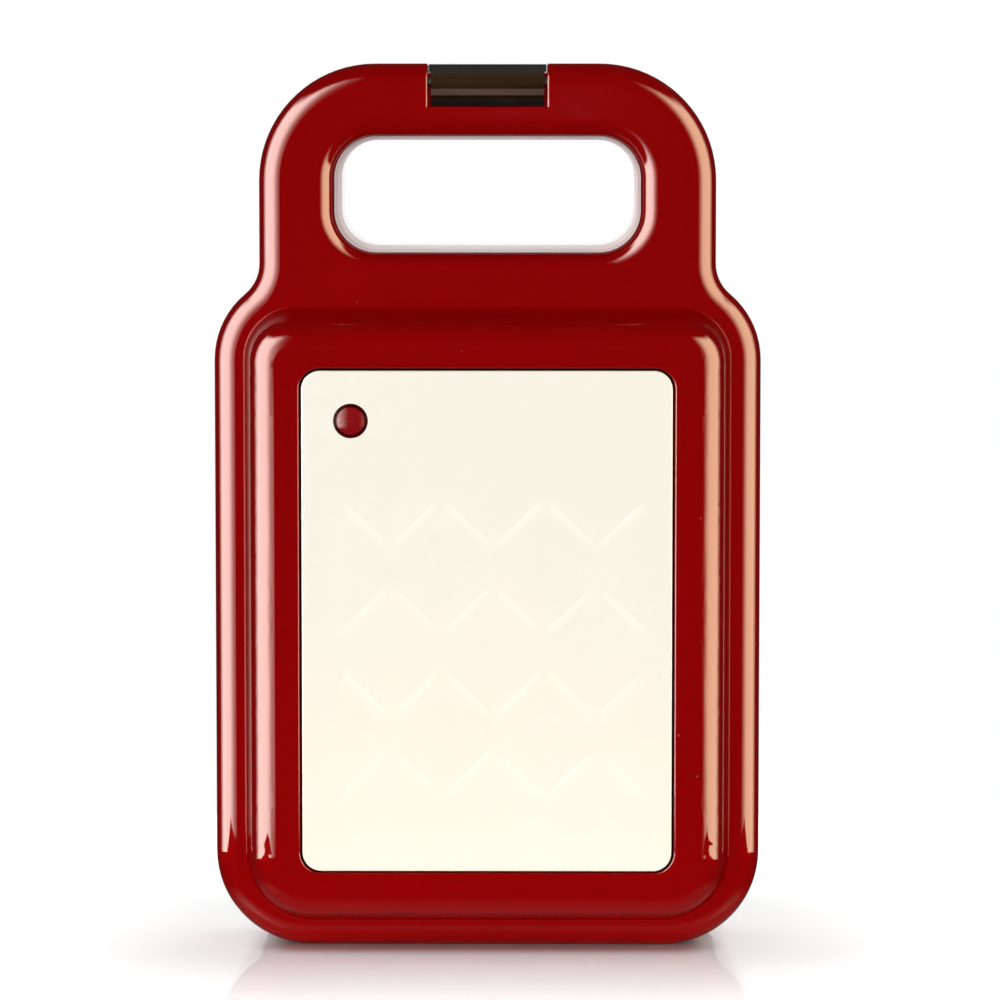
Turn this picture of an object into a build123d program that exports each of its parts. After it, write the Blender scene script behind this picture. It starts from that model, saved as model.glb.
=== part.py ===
"""Multi snack maker: two hinged halves with a loop handle, standing on the hinge end.

X runs across, Z runs up from the hinge end to the handle, and -Y points out of the lid.
The two halves meet at the plane Y = 0. Lengths are in millimetres.
"""

import os
from math import acos, atan2, degrees, hypot, radians, sin, tan

from build123d import *

os.makedirs("parts", exist_ok=True)

# Outline shared by both halves
body_width = 148.0
handle_width = 123.5
overall_height = 240.0
neck_drop = 53.8
neck_radius = 10.8
shoulder_radius = 23.2
bottom_corner_radius = 26.0
handle_corner_radius = 31.5

# Moulded covers
wall = 2.5
rim_gap = 1.2
rim_round = 5.8
lid_rim_depth = 26.0
base_rim_depth = 24.0
crown_face_wall = 3.2
lid_crown_depth = 40.9
base_crown_depth = 39.4
crown_side_margin = 8.55
crown_foot_margin = 7.7
crown_shoulder_rise = 14.2
crown_side_draft = 2.7
crown_end_draft = 4.2
crown_top_corner = 13.6
crown_bottom_corner = 18.0
crown_round = 7.0
crease_round = 0.5
face_search = 0.1
cut_past = 1.0

# Finger hole in the handle
finger_hole_width = 82.6
finger_hole_height = 31.2
finger_hole_drop = 35.2
finger_hole_radius = 11.2
finger_hole_round = 4.6
base_hole_lip = 1.2

# Hinge
hinge_height = 6.0
relief_half_angle = 58.0
knuckle_radius = 4.8
knuckle_clearance = 0.5
hinge_pin_radius = 2.0
hinge_pin_clearance = 0.05
lid_knuckle_start = 20.0
lid_knuckle_length = 13.6
base_knuckle_length = 12.0
knuckle_side_gap = 0.4
pin_end_gap = 0.2
hinge_block_rise = 7.0
hinge_block_depth = 14.0

# Cream panel and indicator lamp
panel_side_margin = 15.85
panel_top_margin = 16.0
panel_foot_margin = 15.8
panel_corner = 5.0
panel_thickness = 2.1
panel_groove = 0.6
recess_round = 0.5
panel_proud = 0.4
panel_edge_round = 0.4
zigzag_row_heights = [19.7, 41.3, 63.7, 86.9]
zigzag_rise = 13.0
zigzag_half_pitch = 13.8
zigzag_first_trough = -25.8
zigzag_troughs = 3
zigzag_line = 1.3
zigzag_line_height = 0.15
zigzag_end_gap = 2.2
lamp_side_inset = 13.2
lamp_top_inset = 13.4
lens_radius = 4.5
lens_clearance = 0.15
lens_crown = 0.7
lens_flange = 1.1
lens_flange_thickness = 1.0
holder_wall = 1.2
holder_length = 9.7
neon_radius = 2.7
neon_clearance = 0.3
neon_length = 11.0
neon_tip_round = 1.35

# Inner frames
frame_thickness = 3.0
frame_setback = 0.6
frame_clearance = 0.3
frame_ledge = 2.4
frame_ledge_thickness = 0.7
rail_thickness = 2.0
rail_lip = 1.2
rail_reach = 2.0

# Cooking plates
plate_side_margin = 16.0
plate_foot_margin = 20.0
plate_top_drop = 82.0
plate_corner = 10.0
plate_gap = 0.6
plate_flange_thickness = 3.0
plate_clearance = 0.4
plate_floor = 3.0
pocket_rim = 9.0
pocket_corner = 8.0
pocket_depth = 8.0
pocket_draft = 14.0
pocket_wall = 2.5
grill_rib_count = 9
grill_rib_width = 3.2
grill_rib_height = 1.8
grill_rib_margin = 6.0
plate_tab_width = 12.0
plate_tab_length = 2.6
plate_tab_thickness = 1.0
plate_tab_root = 2.0
plate_tab_spread = 36.0
tab_clearance = 0.2

# Heater and its tray
heater_radius = 3.2
heater_gap = 0.3
heater_side_inset = 13.0
heater_end_inset = 12.0
heater_bend_radius = 10.0
heater_lead_spacing = 22.0
heater_lead_length = 12.0
tray_sheet = 0.8
tray_clearance = 2.0
tray_flange = 5.0
tray_corner = 9.0

# Plate release slides
slide_width = 14.0
slide_height = 9.0
slide_travel = 3.5
slide_clearance = 0.3
slide_wing = 3.0
slide_wing_thickness = 1.4
slide_tongue = 2.2
slide_tongue_thickness = 0.9
wing_clearance = 0.2
slide_tongue_width = 9.0
slide_rib_count = 3
slide_rib_width = 0.8
slide_rib_height = 0.5
slide_rib_end_gap = 1.0
slide_root = 1.0
plate_catch_length = 2.6
plate_catch_width = 14.0
release_spring_radius = 1.6
release_wire_radius = 0.3
release_spring_turns = 5
release_spring_length = 7.0
spring_post_height = 3.0
spring_lug_half = 3.0
spring_lug_depth = 5.2
spring_end_gap = 0.1

# Screws that hold each frame to its cover
screw_radius = 1.5
screw_clearance = 0.2
screw_length = 9.0
screw_head_radius = 2.8
screw_head_height = 1.5
screw_slot_width = 0.7
screw_slot_depth = 0.7
screw_fit = 0.05
boss_radius = 3.6
body_screw_margin = 8.5
body_screw_end_margin = 10.0

# Latch
notch_half_width = 16.1
notch_depth = 11.7
notch_round = 0.5
notch_side_wall = 4.0
notch_rib_setback = 12.0
notch_rib_thickness = 1.6
notch_rib_overlap = 0.6
notch_rib_drop = 0.4
notch_sill_rise = 1.4
latch_half_width = 15.2
latch_shoulder = 0.6
latch_shoulder_setback = 9.0
latch_pivot_inset = 4.0
latch_pivot_drop = 5.0
latch_thickness = 2.0
latch_top_gap = 0.2
latch_pin_radius = 1.2
latch_pin_clearance = 0.05
latch_pin_socket = 2.4
latch_crest_inset = 5.0
latch_web = 4.0
latch_hub = 2.5
latch_floor_gap = 1.3
latch_skirt = 1.0
latch_skirt_gap = 0.4
latch_grip_inset = 1.4
latch_ridge_rise = 2.0
latch_ridge_step = 1.0
latch_ridge_height = 1.5
latch_ridge_lean = 0.4
latch_ridge_relief = 0.4
latch_swell_inset = 0.8
latch_swell_drop = 2.7
latch_spring_room = 0.9
claw_thickness = 2.0
claw_overlap = 2.6
catch_top_gap = 0.5
catch_thickness = 1.2
catch_half_width = 14.0
catch_foot = 6.0
catch_screw_x = 9.0
catch_screw_setback = 5.0
catch_screw_radius = 1.0
catch_screw_head = 1.8
catch_screw_head_height = 0.8
catch_screw_length = 4.0
catch_gap = 0.3
catch_back = 6.2
base_notch_drop = 10.0
base_notch_back_gap = 1.8
latch_slot_half = 3.0
latch_coil_radius = 1.7
latch_wire_radius = 0.28
latch_coil_turns = 4.25
latch_coil_pitch = 1.0

# Feet, vents, cord gland and electrics in the base
foot_radius = 7.0
foot_height = 2.6
foot_stud_radius = 2.5
foot_stud_fit = 0.1
foot_round = 0.8
foot_side_margin = 26.0
foot_end_margin = 26.3
vent_length = 24.0
vent_width = 2.6
vent_pitch = 7.0
vent_rows = 5
vent_spread = 46.0
vent_drop = 31.0
label_width = 52.0
label_height = 30.0
label_depth = 0.4
label_rise = 21.0
label_corner = 3.0
gland_step = 7.0
gland_radius = 4.4
gland_bore = 3.2
gland_flange = 6.0
gland_collar = 5.0
gland_flange_thickness = 1.8
gland_clearance = 0.1
gland_boss_radius = 6.6
gland_boss_drop = 0.5
gland_boss_length = 8.8
terminal_width = 26.0
terminal_height = 11.0
terminal_depth = 9.0
terminal_rise = 12.0
terminal_pitch = 8.0
terminal_bore = 1.8
terminal_screw_radius = 1.5
terminal_screw_length = 4.0
terminal_screw_proud = 0.5
thermostat_radius = 8.5
thermostat_depth = 8.0
thermostat_rise = 7.0
thermostat_ear_width = 32.0
thermostat_ear_height = 9.0
thermostat_ear_sheet = 0.8
thermostat_ear_corner = 1.5
fuse_radius = 2.2
fuse_length = 14.0
fuse_drop = 23.0
fuse_seat = 0.3
fuse_bevel = 0.7

# Places worked out from the sizes above
body_half = body_width / 2
handle_half = handle_width / 2
neck_height = overall_height - neck_drop
finger_hole_centre = overall_height - finger_hole_drop
crown_low = crown_foot_margin
shoulder_turn = acos(1 - (body_half - handle_half) / (neck_radius + shoulder_radius))
shoulder_height = neck_height - (neck_radius + shoulder_radius) * sin(shoulder_turn)
crown_top = shoulder_height + crown_shoulder_rise
crown_centre = (crown_low + crown_top) / 2
crown_width = body_width - 2 * crown_side_margin
panel_bottom = crown_low + panel_foot_margin
panel_top = crown_top - panel_top_margin
panel_centre = (panel_bottom + panel_top) / 2
panel_width = crown_width - 2 * panel_side_margin
panel_height = panel_top - panel_bottom
lamp_x = lamp_side_inset - panel_width / 2
lamp_height = panel_top - lamp_top_inset
plate_bottom = plate_foot_margin
plate_top = overall_height - plate_top_drop
plate_centre = (plate_bottom + plate_top) / 2
plate_width = body_width - 2 * plate_side_margin
plate_height = plate_top - plate_bottom
pocket_width = plate_width - 2 * pocket_rim
pocket_height = plate_height - 2 * pocket_rim
hinge_block_height = hinge_height + hinge_block_rise
body_screw_x = body_half - body_screw_margin
body_screw_heights = [plate_bottom + body_screw_end_margin, plate_top - body_screw_end_margin]
handle_screw_x = (finger_hole_width / 2 + handle_half) / 2
notch_floor = overall_height - notch_depth
latch_pivot_height = overall_height - latch_pivot_drop
latch_pivot_depth = lid_rim_depth - latch_pivot_inset
latch_top = overall_height - latch_top_gap
latch_under = latch_top - latch_thickness
latch_bottom = notch_floor + latch_floor_gap
catch_top = latch_under - catch_top_gap
claw_bottom = catch_top - claw_overlap
catch_screw_depth = catch_back + catch_screw_setback
base_notch_floor = overall_height - base_notch_drop
foot_x = body_half - foot_side_margin
foot_heights = [crown_low + foot_end_margin, crown_top - foot_end_margin]
gland_depth = base_rim_depth + gland_step
gland_boss_low = crown_low - gland_boss_drop
gland_boss_high = gland_boss_low + gland_boss_length
terminal_centre = plate_bottom + terminal_rise
rim_face = rim_gap / 2
frame_face = rim_face + frame_setback
frame_back = frame_face + frame_thickness
plate_face = plate_gap / 2
plate_flange_back = plate_face + plate_flange_thickness
pocket_floor = plate_face + pocket_depth
plate_back = pocket_floor + plate_floor
heater_depth = plate_back + heater_gap + heater_radius
tray_inside = heater_depth + heater_radius + heater_gap
tray_back = tray_inside + tray_sheet
lid_face_inside = lid_crown_depth - crown_face_wall
base_face_inside = base_crown_depth - crown_face_wall
frame_opening_width = plate_width + 2 * plate_clearance
frame_opening_height = plate_height + 2 * plate_clearance
slide_low = plate_top + plate_catch_length + plate_clearance
slide_top = slide_low + slide_height
slide_slot_top = slide_top + slide_travel + slide_clearance
spring_top = slide_top + release_spring_length
knuckle_reach = knuckle_radius + knuckle_clearance
base_knuckle_start = lid_knuckle_start + lid_knuckle_length + knuckle_side_gap
hinge_pin_end = base_knuckle_start + base_knuckle_length - knuckle_side_gap
panel_back = lid_crown_depth + panel_proud - panel_thickness
lid_front = lid_crown_depth + panel_proud + lens_crown


def half_plane(side, depth):
    """Sketch plane at a depth from the parting plane, facing out of that half."""
    return Plane((0, side * depth, 0), x_dir=(1, 0, 0), z_dir=(0, side, 0))


def upright(side, height):
    """Vertical place on a half's sketch plane, whose own Y points down on the base side."""
    return -side * height


def outline(side, inset):
    """Outline of both halves, drawn in from its edge by inset, in a half's sketch frame."""
    turn = degrees(shoulder_turn)
    crest_height = overall_height - handle_corner_radius
    bottom_corner = bottom_corner_radius - inset
    up = -side
    outer = body_half - inset
    inner = handle_half - inset
    with BuildSketch() as shape:
        with BuildLine():
            Line((0, up * inset), (outer - bottom_corner, up * inset))
            foot = JernArc((outer - bottom_corner, up * inset), (1, 0), bottom_corner, up * 90)
            Line(foot @ 1, (outer, up * shoulder_height))
            swell = JernArc((outer, up * shoulder_height), (0, up), shoulder_radius - inset,
                            up * turn)
            hollow = JernArc(swell @ 1, swell % 1, neck_radius + inset, -up * turn)
            Line(hollow @ 1, (inner, up * crest_height))
            crest = JernArc((inner, up * crest_height), (0, up), handle_corner_radius - inset, up * 90)
            Line(crest @ 1, (0, up * (overall_height - inset)))
            mirror(about=Plane.YZ)
        make_face()
    return shape.sketch


def block(side, low, high, half_width):
    """Rectangle across the middle between two heights."""
    with BuildSketch() as shape:
        with Locations((0, upright(side, (low + high) / 2))):
            Rectangle(2 * half_width, high - low)
    return shape.sketch


def finger_hole(side, grow):
    """Rounded finger hole, grown all round."""
    with BuildSketch() as shape:
        with Locations((0, upright(side, finger_hole_centre))):
            RectangleRounded(finger_hole_width + 2 * grow, finger_hole_height + 2 * grow,
                             finger_hole_radius + grow)
    return shape.sketch


def crown_outline(side, side_inset, end_inset):
    """Raised tier's outline, with larger corners at the hinge end."""
    half = crown_width / 2 - side_inset
    low = crown_low + end_inset
    high = crown_top - end_inset
    mean_inset = (side_inset + end_inset) / 2
    with BuildSketch() as shape:
        with BuildLine():
            FilletPolyline(
                (0, upright(side, low)),
                (half, upright(side, low)),
                (half, upright(side, high)),
                (0, upright(side, high)),
                radius=[crown_bottom_corner - mean_inset, crown_top_corner - mean_inset],
            )
            mirror(about=Plane.YZ)
        make_face()
    return shape.sketch


def rounded(side, centre, width, height, corner):
    """Rounded rectangle across the middle at a height."""
    with BuildSketch() as shape:
        with Locations((0, upright(side, centre))):
            RectangleRounded(width, height, corner)
    return shape.sketch


def screw_places(side):
    """Where the screws stand in a half's sketch frame."""
    body = [(s * body_screw_x, upright(side, z)) for s in (-1, 1) for z in body_screw_heights]
    handle = [(s * handle_screw_x, upright(side, finger_hole_centre)) for s in (-1, 1)]
    return body + handle


def spans(start, length):
    """Left and right spans along X that start at a distance from the middle."""
    return [(-start - length, -start), (start, start + length)]


def front(part, side):
    """Face of a part that lies furthest out of its half."""
    return part.faces().sort_by(Axis.Y)[-1 if side > 0 else 0]


def make_cover(side, rim_depth, crown_depth, hole_lip, own_knuckles, other_knuckles):
    """One moulded cover: rim tier with handle, raised tier, cavities, bosses and hinge end."""
    with BuildPart() as cover:
        with BuildSketch(half_plane(side, rim_face)):
            add(outline(side, 0))
        extrude(amount=rim_depth - rim_face)
        fillet(front(cover, side).edges(), rim_round)
        with BuildSketch(half_plane(side, rim_face)):
            add(finger_hole(side, -hole_lip))
        extrude(amount=rim_depth, mode=Mode.SUBTRACT)
        fillet(front(cover, side).inner_wires().edges(), finger_hole_round)
        with BuildSketch(half_plane(side, rim_depth)):
            add(crown_outline(side, 0, 0))
        with BuildSketch(half_plane(side, crown_depth)):
            add(crown_outline(side, crown_side_draft, crown_end_draft))
        loft()
        fillet(front(cover, side).edges(), crown_round)
        rim_tier = cover.faces().filter_by(Plane.XZ).filter_by_position(
            Axis.Y, side * rim_depth - face_search, side * rim_depth + face_search
        ).sort_by(SortBy.AREA)[-1]
        crease = rim_tier.inner_wires().edges().filter_by_position(
            Axis.Z, crown_low - face_search, crown_top + face_search
        )
        fillet(crease, crease_round)
        # Rim cavity, left solid around the hinge, the finger hole and the latch notch
        with BuildSketch(half_plane(side, rim_face)):
            add(outline(side, wall))
            add(block(side, hinge_block_height, overall_height, body_half), mode=Mode.INTERSECT)
            add(finger_hole(side, wall - hole_lip), mode=Mode.SUBTRACT)
            add(block(side, finger_hole_centre, overall_height, notch_half_width + notch_side_wall),
                mode=Mode.SUBTRACT)
        extrude(amount=rim_depth - wall - rim_face, mode=Mode.SUBTRACT)
        with BuildSketch(half_plane(side, hinge_block_depth)):
            add(outline(side, wall))
            add(block(side, 0, hinge_block_height + cut_past, body_half), mode=Mode.INTERSECT)
        extrude(amount=rim_depth - wall - hinge_block_depth, mode=Mode.SUBTRACT)
        # Cavity of the raised tier
        with BuildSketch(half_plane(side, rim_depth - wall - cut_past)):
            add(crown_outline(side, crown_side_draft + wall, crown_end_draft + wall))
        extrude(amount=crown_depth - crown_face_wall - (rim_depth - wall - cut_past), mode=Mode.SUBTRACT)
        # Screw bosses
        with BuildSketch(half_plane(side, frame_back)):
            with Locations(screw_places(side)):
                Circle(boss_radius)
        extrude(amount=rim_depth - wall - frame_back)
        with BuildSketch(half_plane(side, frame_back)):
            with Locations(screw_places(side)):
                Circle(screw_radius)
        extrude(amount=screw_length, mode=Mode.SUBTRACT)
        # V-shaped relief under the hinge line, so that both ends swing past each other
        relief_drop = hinge_height + cut_past
        relief_spread = relief_drop * tan(radians(relief_half_angle))
        with BuildSketch(Plane.YZ.offset(-body_half)):
            with BuildLine():
                Polyline(
                    (0, hinge_height),
                    (side * relief_spread, hinge_height - relief_drop),
                    (0, hinge_height - relief_drop),
                    close=True,
                )
            make_face()
        extrude(amount=body_width, mode=Mode.SUBTRACT)
        # Room for the other half's knuckles
        for low, high in other_knuckles:
            with BuildSketch(Plane.YZ.offset(low - knuckle_side_gap)):
                with Locations((0, hinge_height)):
                    Circle(knuckle_reach)
            extrude(amount=high - low + 2 * knuckle_side_gap, mode=Mode.SUBTRACT)
        # This half's knuckles with their webs and pin bores
        for low, high in own_knuckles:
            with BuildSketch(Plane.YZ.offset(low)):
                with BuildLine():
                    Polyline(
                        (0, hinge_height),
                        (side * hinge_block_depth, hinge_height),
                        (side * hinge_block_depth, hinge_height + knuckle_radius),
                        (0, hinge_height + knuckle_radius),
                        close=True,
                    )
                make_face()
                with Locations((0, hinge_height)):
                    Circle(knuckle_radius)
            extrude(amount=high - low)
            with BuildSketch(Plane.YZ.offset(low)):
                with Locations((0, hinge_height)):
                    Circle(hinge_pin_radius + hinge_pin_clearance)
            extrude(amount=high - low, mode=Mode.SUBTRACT)
    return cover


lid_knuckles = spans(lid_knuckle_start, lid_knuckle_length)
base_knuckles = spans(base_knuckle_start, base_knuckle_length)

# Lid cover: glossy red moulding with a recess for the panel and a notch for the latch
lid_cover = make_cover(-1, lid_rim_depth, lid_crown_depth, 0, lid_knuckles, base_knuckles)
with BuildPart() as lid_shell:
    add(lid_cover.part)
    with BuildSketch(half_plane(-1, panel_back)):
        add(rounded(-1, panel_centre, panel_width + 2 * panel_groove, panel_height + 2 * panel_groove,
                    panel_corner + panel_groove))
    extrude(amount=panel_thickness, mode=Mode.SUBTRACT)
    fillet(front(lid_shell, -1).inner_wires().edges(), recess_round)
    with BuildSketch(half_plane(-1, lid_face_inside)):
        with Locations((lamp_x, lamp_height)):
            Circle(lens_radius + lens_clearance)
    extrude(amount=crown_face_wall, mode=Mode.SUBTRACT)
    with BuildSketch(half_plane(-1, 0)):
        add(block(-1, notch_floor, overall_height + cut_past, notch_half_width))
    extrude(amount=lid_rim_depth + cut_past, mode=Mode.SUBTRACT)
    notch_corners = lid_shell.edges().filter_by(Axis.Z).filter_by_position(
        Axis.Y, -lid_rim_depth - face_search, -lid_rim_depth + face_search
    ).filter_by_position(Axis.Z, notch_floor, overall_height)
    fillet(notch_corners, notch_round)
    # Ribs on the notch's side walls and a sill between them, which close the view round the latch
    rib_inner = latch_half_width - notch_rib_overlap
    rib_outer = notch_half_width + notch_rib_overlap
    rib_low = notch_floor - notch_rib_overlap
    rib_high = latch_under - notch_rib_drop
    sill_high = notch_floor + notch_sill_rise
    with BuildSketch(half_plane(-1, lid_rim_depth - notch_rib_setback - notch_rib_thickness)):
        for way in (-1, 1):
            with Locations((way * (rib_inner + rib_outer) / 2, upright(-1, (rib_low + rib_high) / 2))):
                Rectangle(rib_outer - rib_inner, rib_high - rib_low)
        with Locations((0, upright(-1, (rib_low + sill_high) / 2))):
            Rectangle(2 * rib_outer, sill_high - rib_low)
    extrude(amount=notch_rib_thickness)
    with BuildSketch(Plane.YZ.offset(-notch_half_width - latch_pin_socket)):
        with Locations((-latch_pivot_depth, latch_pivot_height)):
            Circle(latch_pin_radius + latch_pin_clearance)
    extrude(amount=2 * (notch_half_width + latch_pin_socket), mode=Mode.SUBTRACT)
lid_shell.part.label = "lid_shell"
export_step(lid_shell.part, "parts/lid_shell.step")

# Base cover: white moulding with vents, a bare label recess, a cord hole and a notch for the latch's claw
base_cover = make_cover(1, base_rim_depth, base_crown_depth, base_hole_lip, base_knuckles, lid_knuckles)
with BuildPart() as base_shell:
    add(base_cover.part)
    with BuildSketch(half_plane(1, base_face_inside)):
        with Locations((0, upright(1, crown_centre - vent_drop))):
            with GridLocations(vent_spread, vent_pitch, 2, vent_rows):
                SlotOverall(vent_length, vent_width)
    extrude(amount=crown_face_wall, mode=Mode.SUBTRACT)
    with BuildSketch(half_plane(1, base_crown_depth - label_depth)):
        add(rounded(1, crown_centre + label_rise, label_width, label_height, label_corner))
    extrude(amount=label_depth, mode=Mode.SUBTRACT)
    with BuildSketch(half_plane(1, base_face_inside)):
        with Locations([(s * foot_x, upright(1, z)) for s in (-1, 1) for z in foot_heights]):
            Circle(foot_stud_radius)
    extrude(amount=crown_face_wall, mode=Mode.SUBTRACT)
    with BuildSketch(half_plane(1, 0)):
        add(block(1, base_notch_floor, overall_height + cut_past, notch_half_width))
    extrude(amount=catch_back + catch_foot + base_notch_back_gap, mode=Mode.SUBTRACT)
    with BuildSketch(Plane.XY.offset(base_notch_floor - catch_screw_length)):
        with Locations((-catch_screw_x, catch_screw_depth), (catch_screw_x, catch_screw_depth)):
            Circle(catch_screw_radius + screw_fit)
    extrude(amount=catch_screw_length, mode=Mode.SUBTRACT)
    with BuildSketch(Plane.XY.offset(gland_boss_low)):
        with Locations((0, gland_depth)):
            Circle(gland_boss_radius)
    extrude(amount=gland_boss_high - gland_boss_low)
    with BuildSketch(Plane.XY.offset(gland_boss_low)):
        with Locations((0, gland_depth)):
            Circle(gland_radius + gland_clearance)
    extrude(amount=gland_boss_high - gland_boss_low, mode=Mode.SUBTRACT)
base_shell.part.label = "base_shell"
export_step(base_shell.part, "parts/base_shell.step")


def make_frame(side, hole_lip):
    """Heat-resistant frame that closes a cover and carries its plate, tray and release slide."""
    with BuildPart() as frame:
        with BuildSketch(half_plane(side, frame_face)):
            add(outline(side, wall + frame_clearance))
            add(block(side, hinge_block_height + frame_clearance, overall_height, body_half),
                mode=Mode.INTERSECT)
            add(finger_hole(side, wall + frame_clearance - hole_lip), mode=Mode.SUBTRACT)
            add(block(side, finger_hole_centre, overall_height,
                      notch_half_width + notch_side_wall + frame_clearance), mode=Mode.SUBTRACT)
        extrude(amount=frame_thickness)
        with BuildSketch(half_plane(side, frame_face)):
            add(rounded(side, plate_centre, frame_opening_width - 2 * frame_ledge,
                        frame_opening_height - 2 * frame_ledge, plate_corner - frame_ledge))
            add(block(side, plate_centre, slide_slot_top, slide_width / 2 + slide_clearance))
        extrude(amount=frame_thickness, mode=Mode.SUBTRACT)
        with BuildSketch(half_plane(side, frame_face)):
            add(rounded(side, plate_centre, frame_opening_width, frame_opening_height, plate_corner))
        extrude(amount=frame_thickness - frame_ledge_thickness, mode=Mode.SUBTRACT)
        # Undercut pockets that take the plate's two tabs
        with BuildSketch(half_plane(side, plate_flange_back - plate_tab_thickness - tab_clearance)):
            for x in (-plate_tab_spread, plate_tab_spread):
                with Locations((x, upright(side, plate_bottom - plate_tab_length / 2))):
                    Rectangle(plate_tab_width + 2 * slide_clearance, plate_tab_length + 2 * plate_clearance)
        extrude(amount=plate_tab_thickness + 2 * tab_clearance, mode=Mode.SUBTRACT)
        # Guide rails for the slide's wings
        rail_inner = slide_width / 2 + slide_wing + slide_clearance
        rail_outer = rail_inner + rail_thickness
        channel = slide_wing_thickness + 2 * wing_clearance
        with BuildSketch(half_plane(side, frame_back)):
            add(block(side, slide_low - slide_clearance, slide_slot_top, rail_outer))
            add(block(side, slide_low - slide_clearance, slide_slot_top, rail_inner), mode=Mode.SUBTRACT)
        extrude(amount=channel + rail_lip)
        with BuildSketch(half_plane(side, frame_back + channel)):
            add(block(side, slide_low - slide_clearance, slide_slot_top, rail_inner))
            add(block(side, slide_low - slide_clearance, slide_slot_top, rail_inner - rail_reach),
                mode=Mode.SUBTRACT)
        extrude(amount=rail_lip)
        # Stop that the release spring pushes against
        with BuildSketch(half_plane(side, frame_back)):
            add(block(side, spring_top, spring_top + spring_post_height, spring_lug_half))
        extrude(amount=spring_lug_depth)
        with Locations([Plane(half_plane(side, frame_face).from_local_coords(Vector(x, y, 0)),
                              x_dir=(1, 0, 0), z_dir=(0, -side, 0)).location
                        for x, y in screw_places(side)]):
            CounterBoreHole(screw_radius + screw_clearance, screw_head_radius + screw_clearance,
                            screw_head_height, 2 * frame_thickness)
    return frame


def make_plate(side):
    """Removable toasting plate: flat flange, drafted pocket, grill ribs, tabs and catch lip."""
    with BuildPart() as plate:
        with BuildSketch(half_plane(side, plate_face)):
            add(rounded(side, plate_centre, plate_width, plate_height, plate_corner))
        extrude(amount=plate_flange_thickness)
        with BuildSketch(half_plane(side, plate_face)):
            add(rounded(side, plate_centre, pocket_width + 2 * pocket_wall,
                        pocket_height + 2 * pocket_wall, pocket_corner + pocket_wall))
        extrude(amount=pocket_depth + plate_floor, taper=pocket_draft)
        with BuildSketch(half_plane(side, plate_face)):
            add(rounded(side, plate_centre, pocket_width, pocket_height, pocket_corner))
        extrude(amount=pocket_depth, taper=pocket_draft, mode=Mode.SUBTRACT)
        draw_in = pocket_depth * tan(radians(pocket_draft))
        rib_span = pocket_width - 2 * (draw_in + grill_rib_margin)
        with BuildSketch(half_plane(side, pocket_floor - grill_rib_height)):
            with Locations((0, upright(side, plate_centre))):
                with GridLocations(rib_span / (grill_rib_count - 1), 0, grill_rib_count, 1):
                    SlotOverall(pocket_height - 2 * (draw_in + grill_rib_margin), grill_rib_width,
                                rotation=90)
        extrude(amount=grill_rib_height + plate_floor / 2)
        with BuildSketch(half_plane(side, plate_flange_back - plate_tab_thickness)):
            for x in (-plate_tab_spread, plate_tab_spread):
                with Locations((x, upright(side, plate_bottom + (plate_tab_root - plate_tab_length) / 2))):
                    Rectangle(plate_tab_width, plate_tab_length + plate_tab_root)
            add(block(side, plate_top - plate_tab_root, plate_top + plate_catch_length,
                      plate_catch_width / 2))
        extrude(amount=plate_tab_thickness)
    return plate


def make_tray(side):
    """Bright sheet tray that holds the heater and throws its heat at the plate."""
    tray_width = pocket_width + 2 * (pocket_wall + tray_clearance)
    tray_height = pocket_height + 2 * (pocket_wall + tray_clearance)
    with BuildPart() as tray:
        with BuildSketch(half_plane(side, frame_back)):
            add(rounded(side, plate_centre, tray_width + 2 * (tray_sheet + tray_flange),
                        tray_height + 2 * (tray_sheet + tray_flange), tray_corner + tray_flange))
        extrude(amount=tray_sheet)
        with BuildSketch(half_plane(side, frame_back)):
            add(rounded(side, plate_centre, tray_width + 2 * tray_sheet, tray_height + 2 * tray_sheet,
                        tray_corner + tray_sheet))
        extrude(amount=tray_back - frame_back)
        with BuildSketch(half_plane(side, frame_back)):
            add(rounded(side, plate_centre, tray_width, tray_height, tray_corner))
        extrude(amount=tray_inside - frame_back, mode=Mode.SUBTRACT)
    return tray


def make_heater(side):
    """Sheathed heating element bent into one loop behind the plate."""
    low = plate_centre - pocket_height / 2 + heater_end_inset
    high = plate_centre + pocket_height / 2 - heater_end_inset
    half = pocket_width / 2 - heater_side_inset
    lead = heater_lead_spacing / 2
    loop = [(-lead, low - heater_lead_length), (-lead, low), (-half, low), (-half, high),
            (half, high), (half, low), (lead, low), (lead, low - heater_lead_length)]
    with BuildPart() as heater:
        with BuildLine(half_plane(side, heater_depth)) as path:
            FilletPolyline([(x, upright(side, z)) for x, z in loop], radius=heater_bend_radius)
        with BuildSketch(Plane(origin=path.line @ 0, z_dir=path.line % 0)):
            Circle(heater_radius)
        sweep(path=path.line)
    return heater


def make_slide(side):
    """Sprung slide whose tongue holds the plate's catch lip down."""
    with BuildPart() as slide:
        with BuildSketch(half_plane(side, frame_face)):
            add(block(side, slide_low, slide_top, slide_width / 2))
        extrude(amount=frame_thickness + wing_clearance)
        with BuildSketch(half_plane(side, frame_back + wing_clearance)):
            add(block(side, slide_low, slide_top, slide_width / 2 + slide_wing))
        extrude(amount=slide_wing_thickness)
        with BuildSketch(half_plane(side, frame_face)):
            add(block(side, slide_low - slide_tongue, slide_low + slide_root, slide_tongue_width / 2))
        extrude(amount=slide_tongue_thickness)
        with BuildSketch(half_plane(side, frame_face - slide_rib_height)):
            with Locations((0, upright(side, (slide_low + slide_top) / 2))):
                with GridLocations(0, slide_height / (slide_rib_count + 1), 1, slide_rib_count):
                    Rectangle(slide_width - 2 * slide_rib_end_gap, slide_rib_width)
        extrude(amount=slide_rib_height + slide_root)
        with BuildSketch(half_plane(side, frame_back)):
            add(block(side, slide_top - spring_post_height, slide_top, spring_lug_half))
        extrude(amount=spring_lug_depth)
    return slide


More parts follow.
